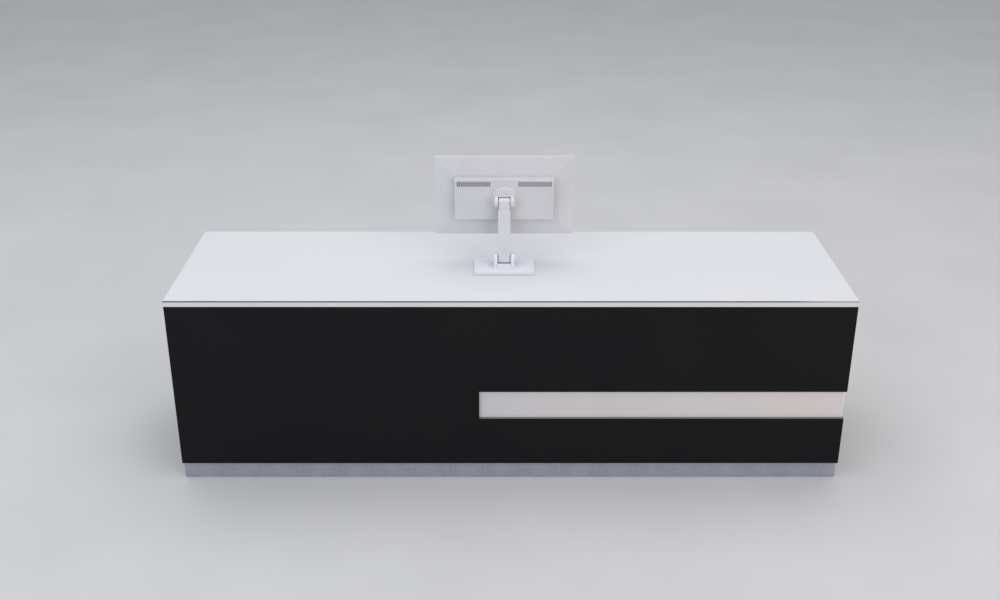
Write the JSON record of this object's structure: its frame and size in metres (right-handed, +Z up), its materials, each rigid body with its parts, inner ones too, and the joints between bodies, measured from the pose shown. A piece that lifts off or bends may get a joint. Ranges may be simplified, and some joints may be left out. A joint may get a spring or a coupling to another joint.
{
  "type": "checkout counter",
  "caption": "Long desk-height checkout counter with a till display on the worktop, three drawers, a kneehole and a two-door cupboard.",
  "frame": {"origin": "on the floor, at the middle of the counter's footprint", "axes": "+Z up, +X to the right as the customer sees it, +Y from the customer's side to the staff side"},
  "size_m": [2.5, 0.7, 1.1726],
  "materials": {
    "white_glass": "polished, back-painted",
    "white_laminate": "satin laminate on board",
    "strip_acrylic": "satin",
    "black_laminate": "matte laminate on board",
    "carcass_board": "matte melamine on board",
    "front_laminate": "satin laminate on board",
    "plinth_laminate": "brushed metal laminate on board",
    "zinc_steel": "zinc plated",
    "bright_steel": "satin nickel",
    "handle_steel": "brushed",
    "tray_paint": "fine texture powder coat",
    "display_white": "satin moulding",
    "screen_black": "glossy film over the panel",
    "circuit_green": "solder mask",
    "pad_rubber": "matte"
  },
  "bodies": {
    "counter": {"worktop_glass": "white_glass", "worktop_board": "white_laminate", "front_cladding": "black_laminate", "light_strip": "strip_acrylic", "front_panel": "carcass_board", "left_cladding": "black_laminate", "right_cladding_upper": "black_laminate", "right_cladding_lower": "black_laminate", "left_end_panel": "carcass_board", "right_end_panel": "carcass_board", "left_partition": "carcass_board", "right_partition": "carcass_board", "plinth_front": "plinth_laminate", "plinth_returns": "plinth_laminate", "plinth_backs": "plinth_laminate", "levelling_feet": "zinc_steel", "cabinet_bases": "carcass_board", "worktop_rails": "carcass_board", "cupboard_shelf": "carcass_board", "shelf_pins": "bright_steel", "cable_tray": "tray_paint", "corner_brackets": "zinc_steel", "cabinet_runners": "zinc_steel", "door_hinge_frames": "bright_steel", "display_base": "display_white", "base_pads": "pad_rubber"},
    "top_drawer": {"top_drawer_front": "front_laminate", "top_drawer_tray": "tray_paint", "top_drawer_handle": "handle_steel", "top_drawer_runners": "zinc_steel", "lock_barrel": "bright_steel"},
    "middle_drawer": {"middle_drawer_front": "front_laminate", "middle_drawer_tray": "tray_paint", "middle_drawer_handle": "handle_steel", "middle_drawer_runners": "zinc_steel"},
    "bottom_drawer": {"bottom_drawer_front": "front_laminate", "bottom_drawer_tray": "tray_paint", "bottom_drawer_handle": "handle_steel", "bottom_drawer_runners": "zinc_steel"},
    "lock": {"lock_plug": "bright_steel"},
    "left_door_leaf": {"left_door": "front_laminate", "left_door_leaves": "bright_steel", "left_door_handle": "handle_steel"},
    "right_door_leaf": {"right_door": "front_laminate", "right_door_leaves": "bright_steel", "right_door_handle": "handle_steel"},
    "display_turntable": {"swivel_yoke": "display_white"},
    "display_arm": {"display_neck": "display_white", "hinge_pins": "bright_steel"},
    "display_head": {"mount_yoke": "display_white", "vent_housing": "display_white", "rear_shell": "display_white", "front_bezel": "display_white", "lcd_panel": "screen_black", "display_board": "circuit_green"},
    "power_key_cap": {"power_key": "display_white"},
    "input_key_cap": {"input_key": "display_white"},
    "up_key_cap": {"up_key": "display_white"},
    "down_key_cap": {"down_key": "display_white"},
    "menu_key_cap": {"menu_key": "display_white"}
  },
  "joints": [
    {"name": "top_drawer_slide", "type": "slide", "parent": "counter", "child": "top_drawer", "axis": [0, 1, 0], "range_m": [0, 0.38]},
    {"name": "middle_drawer_slide", "type": "slide", "parent": "counter", "child": "middle_drawer", "axis": [0, 1, 0], "range_m": [0, 0.38]},
    {"name": "bottom_drawer_slide", "type": "slide", "parent": "counter", "child": "bottom_drawer", "axis": [0, 1, 0], "range_m": [0, 0.38]},
    {"name": "lock_turn", "type": "hinge", "parent": "top_drawer", "child": "lock", "pos_m": [-0.8885, 0.3, 0.651], "axis": [0, -1, 0], "range_deg": [0, 90]},
    {"name": "left_door_hinge", "type": "hinge", "parent": "counter", "child": "left_door_leaf", "pos_m": [0.55425, 0.3235, 0.4], "axis": [0, 0, 1], "range_deg": [0, 110]},
    {"name": "right_door_hinge", "type": "hinge", "parent": "counter", "child": "right_door_leaf", "pos_m": [1.22275, 0.3235, 0.4], "axis": [0, 0, -1], "range_deg": [0, 110]},
    {"name": "display_swivel", "type": "hinge", "parent": "counter", "child": "display_turntable", "pos_m": [-0.0235, -0.036, 0.76], "axis": [0, 0, 1], "range_deg": [-45, 45]},
    {"name": "display_lean", "type": "hinge", "parent": "display_turntable", "child": "display_arm", "pos_m": [-0.0235, -0.036, 0.791], "axis": [1, 0, 0], "range_deg": [-12, 20]},
    {"name": "display_tilt", "type": "hinge", "parent": "display_arm", "child": "display_head", "pos_m": [-0.0235, -0.036, 1.016], "axis": [1, 0, 0], "range_deg": [-9, 16]},
    {"name": "power_key_press", "type": "slide", "parent": "display_head", "child": "power_key_cap", "axis": [0, 0.9976, 0.0698], "range_m": [0, 0.0008], "stiffness_N_per_m": 500},
    {"name": "input_key_press", "type": "slide", "parent": "display_head", "child": "input_key_cap", "axis": [0, 0.9976, 0.0698], "range_m": [0, 0.0008], "stiffness_N_per_m": 500},
    {"name": "up_key_press", "type": "slide", "parent": "display_head", "child": "up_key_cap", "axis": [0, 0.9976, 0.0698], "range_m": [0, 0.0008], "stiffness_N_per_m": 500},
    {"name": "down_key_press", "type": "slide", "parent": "display_head", "child": "down_key_cap", "axis": [0, 0.9976, 0.0698], "range_m": [0, 0.0008], "stiffness_N_per_m": 500},
    {"name": "menu_key_press", "type": "slide", "parent": "display_head", "child": "menu_key_cap", "axis": [0, 0.9976, 0.0698], "range_m": [0, 0.0008], "stiffness_N_per_m": 500}
  ]
}
